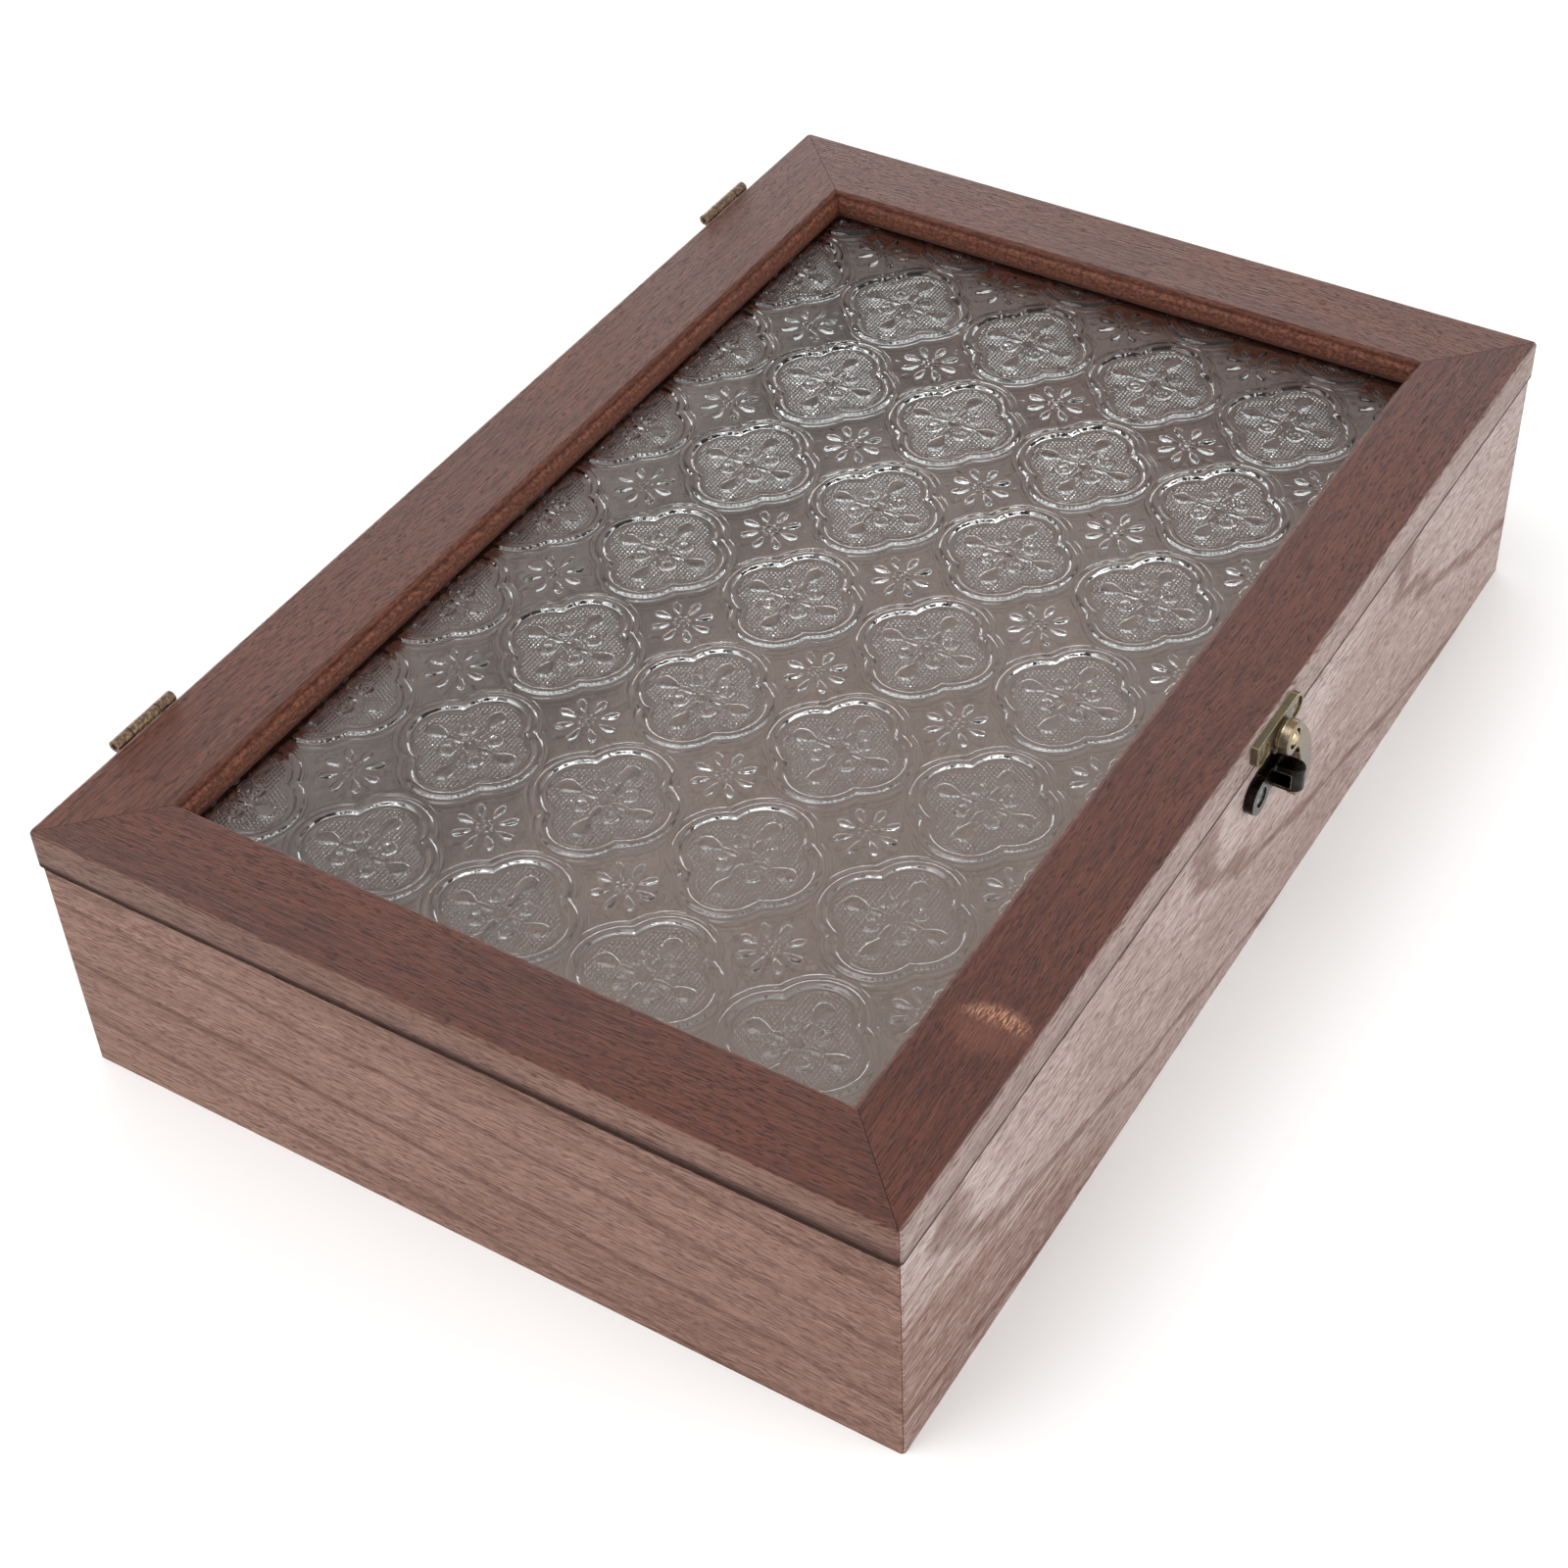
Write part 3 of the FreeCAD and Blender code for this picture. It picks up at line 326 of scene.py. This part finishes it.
def petal(along, aside, start, end, half, height, fat=0.62):
    """A drop-shaped boss from start to end along one axis, widest at the fraction fat."""
    f = np.clip((along - start) / (end - start), 0, 1)
    swell = np.sin(np.pi * f ** (math.log(0.5) / math.log(fat)))
    width = half * np.sqrt(np.clip(swell, 1e-6, None))
    inside = (along > start) & (along < end)
    return np.where(inside, height * np.sqrt(np.clip(1 - (aside / width) ** 2, 0, None)) * swell ** 0.25, 0)


def turned(u, v, degrees):
    c, s = math.cos(math.radians(degrees)), math.sin(math.radians(degrees))
    return u * c + v * s, v * c - u * s


def flower(u, v):
    """The large four-lobed flower: a raised band, thin lines beside it, and a beaded field with a motif."""
    d = np.full_like(u, 1e9)
    for cu, cv, r in ((7.0, 0, 8.9), (-7.0, 0, 8.9), (0, 5.2, 9.8), (0, -5.2, 9.8)):
        d = np.minimum(d, np.hypot(u - cu, v - cv) - r)
    h = 0.56 * hump(d, 1.25) + 0.17 * hump(d + 1.9, 0.42) + 0.20 * hump(d - 1.95, 0.45)
    h += 0.05 * np.clip((3.4 - d) / 0.5, 0, 1) * (d > 1.2)

    motif = np.zeros_like(u)
    for k in range(4):
        a, b = turned(u, v, 90 * k)
        end = 11.6 if k % 2 == 0 else 11.3
        motif = np.maximum(motif, petal(a, b, 5.2, end, 2.1, 0.58, 0.66))
        motif = np.maximum(motif, petal(a, b, 1.6, 6.0, 0.95, 0.44, 0.5))
        a, b = turned(u, v, 90 * k + 45)
        curl = np.hypot(a - 4.9, b)
        motif = np.maximum(motif, 0.46 * hump(curl - 1.55, 0.65) * (a > 3.5))
        motif = np.maximum(motif, petal(a, b, 4.1, 6.1, 0.7, 0.38, 0.5))
    motif = np.maximum(motif, 0.30 * np.clip(1 - (np.abs(u) + np.abs(v)) / 2.0, 0, 1))

    row = np.floor(v / BEAD_Y + 0.5)
    bu = (u / BEAD_X + 0.5 * (row % 2) + 0.5) % 1 - 0.5
    bv = (v / BEAD_Y + 0.5) % 1 - 0.5
    bead = np.clip(1 - (np.hypot(bu, bv) / 0.48) ** 2, 0, 1)
    field = np.clip((-2.35 - d) / 0.15, 0, 1)
    h += field * np.where(motif > 0.02, motif, 0.32 * bead)
    return h


def daisy(u, v):
    """The small eight-petalled flower between the large ones."""
    h = np.zeros_like(u)
    for k in range(8):
        a, b = turned(u, v, 45 * k)
        h = np.maximum(h, petal(a, b, 2.5, 6.9, 1.0, 0.44, 0.66))
        h = np.maximum(h, 0.20 * np.clip(1 - (np.hypot(a - 1.6, b) / 0.5) ** 2, 0, 1))
        a, b = turned(u, v, 45 * k + 22.5)
        h = np.maximum(h, petal(a, b, 6.6, 9.0, 0.62, 0.10, 0.6))
    return np.maximum(h, 0.24 * np.clip(1 - (np.hypot(u, v) / 0.7) ** 2, 0, 1))


def wrapped(value, pitch):
    return (value + pitch / 2) % pitch - pitch / 2


def knots(u, v):
    """Pairs of oval beads where the bands of neighbouring flowers meet."""
    side, end = wrapped(u + PITCH_X / 2, PITCH_X), wrapped(v + PITCH_Y / 2, PITCH_Y)
    h = np.zeros_like(u)
    for sign in (-1, 1):
        oval = ((side / 0.6) ** 2 + ((v - sign * 1.9) / 1.15) ** 2)
        h = np.maximum(h, 0.26 * np.clip(1 - oval, 0, 1))
        oval = (((u - sign * 1.0) / 0.85) ** 2 + (end / 0.5) ** 2)
        h = np.maximum(h, 0.26 * np.clip(1 - oval, 0, 1))
    return h


def relief(x, y):
    """The height of the pressed pattern at each point, in millimetres."""
    u, v = wrapped(x - CELL_X, PITCH_X), wrapped(y - CELL_Y, PITCH_Y)
    du, dv = wrapped(u + PITCH_X / 2, PITCH_X), wrapped(v + PITCH_Y / 2, PITCH_Y)
    wave = 0.018 * np.sin(x * 0.21 + 1.3 * np.sin(y * 0.13)) * np.sin(y * 0.17 + 0.9 * np.sin(x * 0.11))
    return np.maximum(flower(u, v), np.maximum(daisy(du, dv), knots(u, v))) + wave


def samples(low, high, centre, bead):
    """Points that fall in the same places on every bead, with a plain border at each end."""
    step = bead / STEPS
    first = math.ceil((low + MARGIN - centre) / step)
    last = math.floor((high - MARGIN - centre) / step)
    inner = centre + step * np.arange(first, last + 1)
    return np.concatenate([[low, low + MARGIN / 2], inner, [high - MARGIN / 2, high]])


def patterned_pane():
    """The pane: a fine grid for the pressed face, plain sides and a plain underside, all one closed mesh."""
    low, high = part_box("glass_pane")
    lo, hi = [c / MM for c in low], [c / MM for c in high]
    xs = samples(lo[0], hi[0], CELL_X, BEAD_X)
    ys = samples(lo[1], hi[1], CELL_Y, BEAD_Y)
    gx, gy = np.meshgrid(xs, ys)
    lift = relief(gx, gy)
    rim = np.minimum(np.minimum(gx - lo[0], hi[0] - gx), np.minimum(gy - lo[1], hi[1] - gy))
    lift *= np.clip((rim - 0.5) / MARGIN, 0, 1)
    peak = lift.max()
    gz = hi[2] - RELIEF + RELIEF * lift / peak
    nx, ny = len(xs), len(ys)
    top = np.stack([gx, gy, gz], -1).reshape(-1, 3)
    index = np.arange(nx * ny).reshape(ny, nx)
    loop = np.concatenate([index[0, :-1], index[:-1, -1], index[-1, :0:-1], index[:0:-1, 0]])
    under = top[loop].copy()
    under[:, 2] = lo[2]
    quads = np.stack([index[:-1, :-1], index[:-1, 1:], index[1:, 1:], index[1:, :-1]], -1).reshape(-1, 4)
    n = len(loop)
    ring = np.arange(n) + nx * ny
    sides = np.stack([np.roll(loop, -1), loop, ring, np.roll(ring, -1)], -1)
    loops = np.concatenate([quads.ravel(), sides.ravel(), ring[::-1]])
    sizes = np.concatenate([np.full(len(quads) + n, 4), [n]])
    mesh = bpy.data.meshes.new("glass_relief")
    points = np.concatenate([top, under]) * MM
    mesh.vertices.add(len(points))
    mesh.vertices.foreach_set("co", points.ravel())
    mesh.loops.add(len(loops))
    mesh.loops.foreach_set("vertex_index", loops.astype(np.int32))
    mesh.polygons.add(len(sizes))
    mesh.polygons.foreach_set("loop_start", np.concatenate([[0], np.cumsum(sizes)[:-1]]).astype(np.int32))
    mesh.polygons.foreach_set("use_smooth", np.arange(len(sizes)) < len(quads))
    mesh.update(calc_edges=True)
    mesh.validate()
    pane = bpy.data.objects.new("glass_relief", mesh)
    bpy.context.scene.collection.objects.link(pane)
    return pane


def glass():
    s = Shader("patterned_glass")
    x, y, z = s.position()
    ripple = s.noise(s.vector(x, y, z), 0.35, detail=2.0)
    fine = s.noise(s.vector(x, y, z), 2.2, detail=2.0)
    height = s.add(ripple, s.mul(fine, 0.12))
    s.finish(Base_Color=(0.93, 0.955, 0.95), Roughness=0.02, IOR=1.5, Transmission_Weight=1.0,
             Normal=s.bump(height, 0.08, 0.6))
    surface = s.out.inputs[0].links[0].from_socket
    clear = s.node("ShaderNodeBsdfTransparent", {"Color": (0.86, 0.88, 0.875, 1)})
    shadow = s.node("ShaderNodeLightPath").outputs["Is Shadow Ray"]
    mixed = s.node("ShaderNodeMixShader", {0: shadow, 1: surface, 2: clear.outputs[0]})
    s.tree.links.new(mixed.outputs[0], s.out.inputs[0])
    return s.material


pane = patterned_pane()
pane.data.materials.append(glass())
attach(pane, "lid")
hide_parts("glass_pane")


# ---------------------------------------------------------------- floor, light and camera

def plain(name, colour, roughness):
    s = Shader(name)
    return s.finish(Base_Color=colour, Roughness=roughness)


bpy.ops.mesh.primitive_plane_add(size=8, location=(0, 0, 0))
floor = bpy.context.object
floor.name = "floor"
floor.data.materials.append(plain("pale_floor", (0.97, 0.97, 0.97), 0.9))

world = bpy.data.worlds.new("studio")
world.use_nodes = True
background = world.node_tree.nodes["Background"]
background.inputs[0].default_value = (1.0, 1.0, 1.0, 1)
background.inputs[1].default_value = 0.70
bpy.context.scene.world = world


def softbox(name, place, aim, size, radiance):
    """A rectangular soft light of a given brightness, facing a point."""
    lamp = bpy.data.lights.new(name, "AREA")
    lamp.shape = "RECTANGLE"
    lamp.size, lamp.size_y = size
    lamp.energy = radiance * math.pi * size[0] * size[1]
    holder = bpy.data.objects.new(name, lamp)
    holder.location = place
    holder.rotation_euler = (Vector(aim) - Vector(place)).to_track_quat("-Z", "Y").to_euler()
    bpy.context.scene.collection.objects.link(holder)
    return holder


softbox("front", (-0.15, -1.15, 0.42), (0, 0, 0.03), (1.5, 0.7), 2.9)
softbox("side", (-1.2, 0.5, 0.5), (0, 0, 0.03), (1.0, 0.6), 1.2)
softbox("top", (-0.6, 0.5, 1.7), (0, 0, 0), (1.2, 1.2), 3.0)
softbox("far", (1.25, 0.85, 0.20), (0, 0, 0.05), (2.2, 0.38), 7.5)

camera_data = bpy.data.cameras.new("camera")
camera_data.lens = 65.21
camera_data.sensor_width = 36
camera = bpy.data.objects.new("camera", camera_data)
camera.location = (-0.40618, -0.25165, 0.45762)
camera.rotation_euler = Euler([math.radians(a) for a in (46.448, 2.200, -58.444)], "XYZ")
bpy.context.scene.collection.objects.link(camera)
bpy.context.scene.camera = camera
bpy.context.scene.view_settings.view_transform = "Standard"
